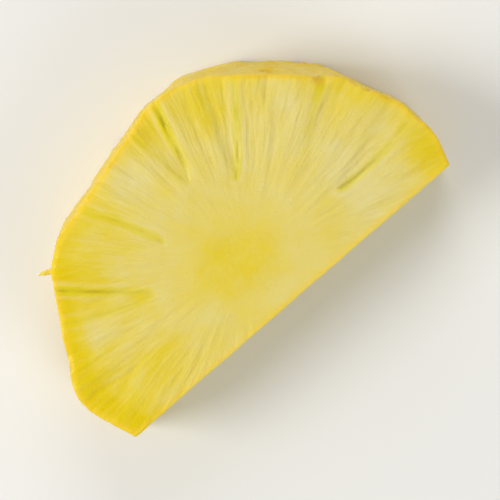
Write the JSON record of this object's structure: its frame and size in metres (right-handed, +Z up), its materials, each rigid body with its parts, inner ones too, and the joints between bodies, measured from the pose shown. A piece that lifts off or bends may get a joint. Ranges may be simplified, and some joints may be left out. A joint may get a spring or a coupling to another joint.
{
  "type": "half slice of peeled pineapple",
  "caption": "Thick half slice of peeled pineapple with its core, squared off by a peeling knife and lying flat.",
  "frame": {"origin": "where the fruit's own axis, the middle of its core, meets the flat lower face", "axes": "+Z up out of the upper face, +X along the straight halving cut, +Y from the cut towards the round rim"},
  "size_m": [0.094, 0.0516, 0.0209],
  "materials": {
    "flesh": "moist cut fruit flesh, pale yellow with translucent golden eyes"
  },
  "bodies": {
    "root": {"pineapple_slice": "flesh"}
  },
  "joints": []
}
